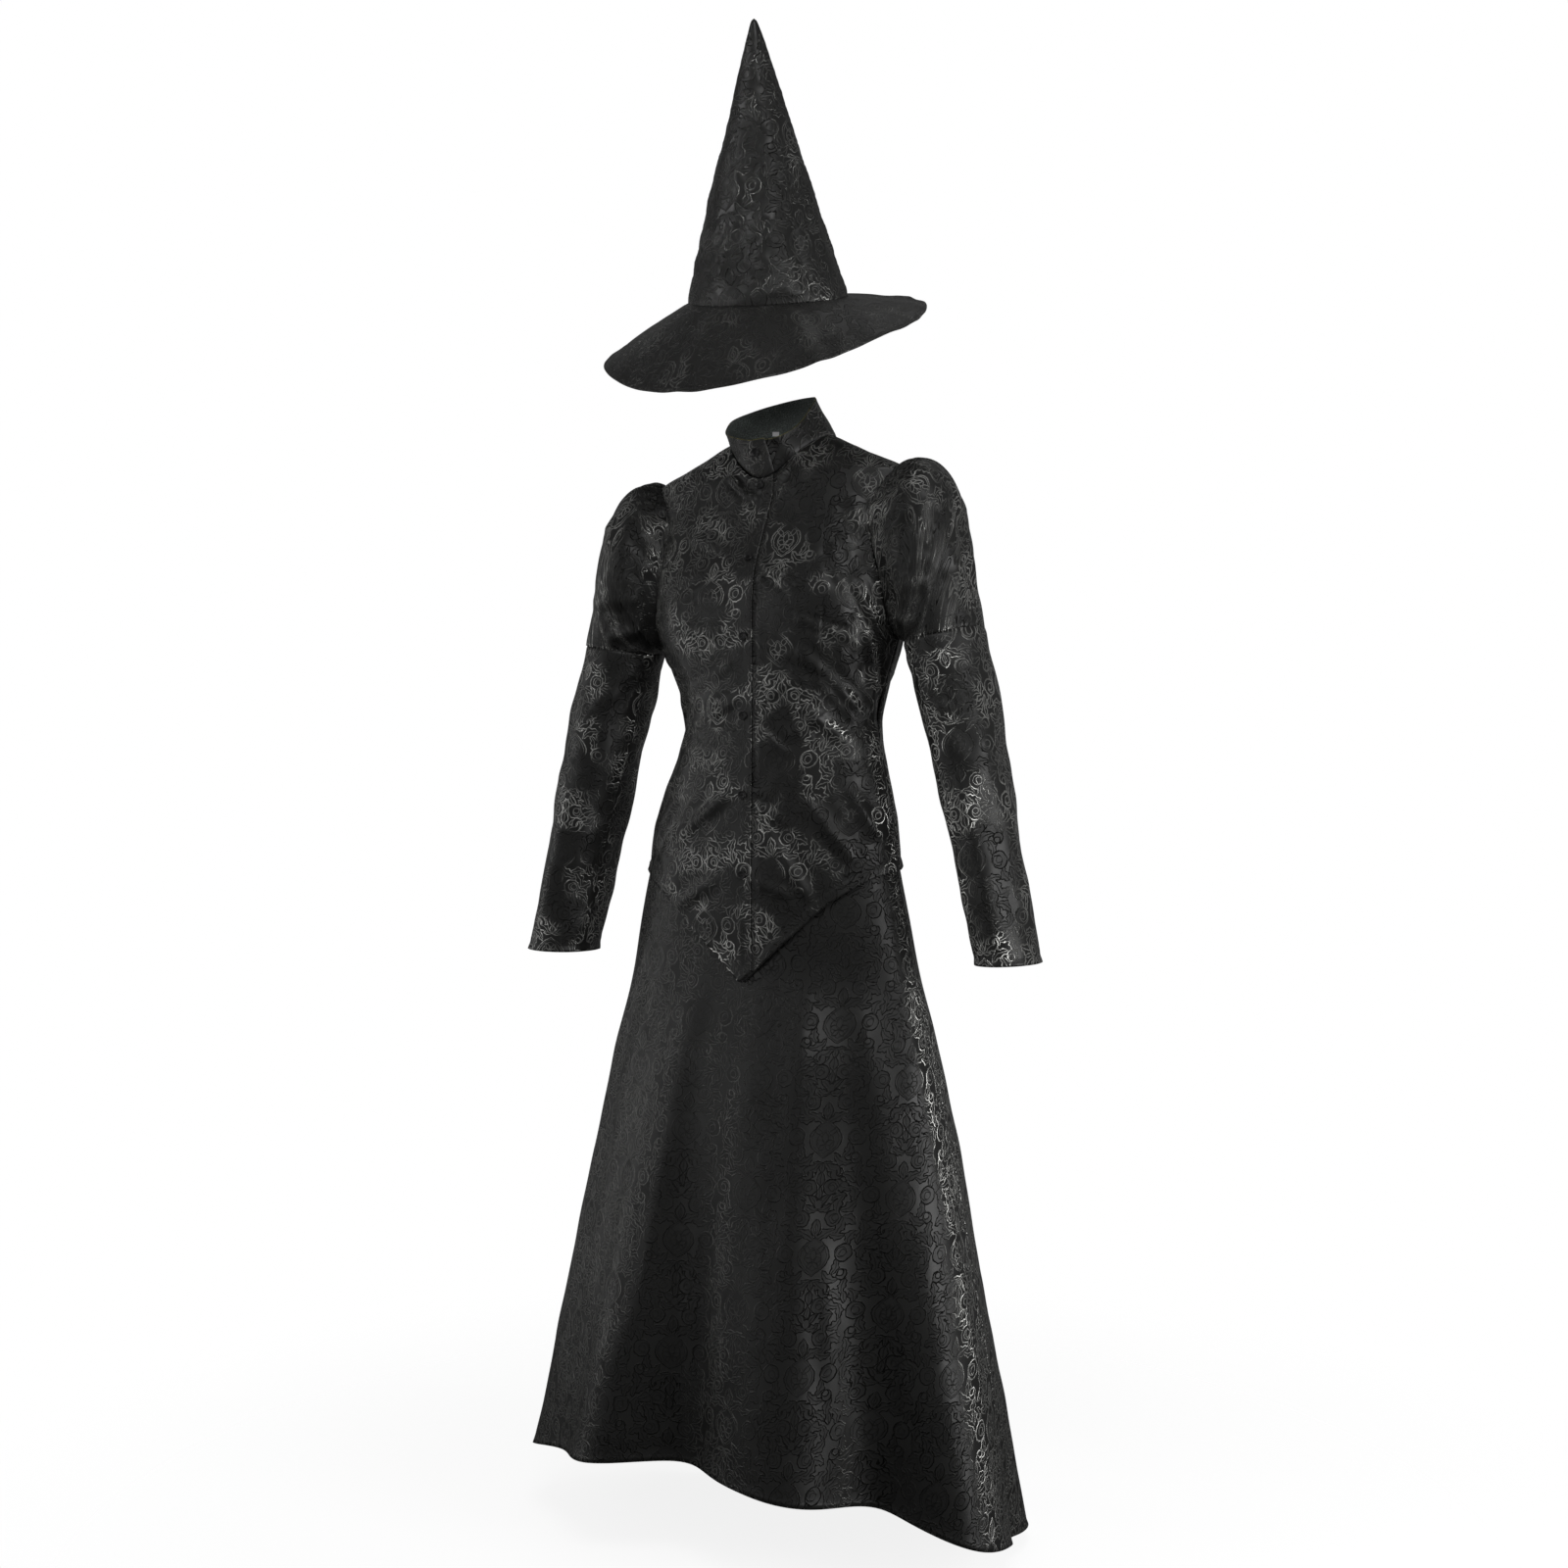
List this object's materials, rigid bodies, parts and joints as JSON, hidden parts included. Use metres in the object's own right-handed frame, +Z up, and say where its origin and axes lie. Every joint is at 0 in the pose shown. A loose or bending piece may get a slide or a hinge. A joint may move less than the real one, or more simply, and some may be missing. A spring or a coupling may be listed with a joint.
{
  "type": "witch costume",
  "caption": "Filled-out black damask witch costume with no wearer: pointed hat, buttoned jacket with stand collar and puffed sleeves, long flared skirt.",
  "frame": {"origin": "middle of the wearer's neck, level with the side points of the neckline", "axes": "+Z up, +X to the wearer's left, -Y out of the costume's front"},
  "size_m": [0.744, 0.4662, 1.9237],
  "materials": {
    "black_damask": "satin ground with a woven damask figure",
    "white_label": "smooth woven",
    "black_button": "gloss"
  },
  "bodies": {
    "root": {"jacket_front_left": "black_damask", "jacket_front_right": "black_damask", "jacket_back": "black_damask", "collar": "black_damask", "sleeve_upper_left": "black_damask", "sleeve_lower_left": "black_damask", "sleeve_upper_right": "black_damask", "sleeve_lower_right": "black_damask", "skirt_front": "black_damask", "skirt_back": "black_damask", "skirt_waistband": "black_damask", "hat_crown": "black_damask", "hat_brim": "black_damask", "neck_label": "white_label", "button_collar": "black_button", "button_front_1": "black_button", "button_front_2": "black_button", "button_front_3": "black_button", "button_front_4": "black_button", "button_front_5": "black_button", "button_front_6": "black_button"}
  },
  "joints": []
}
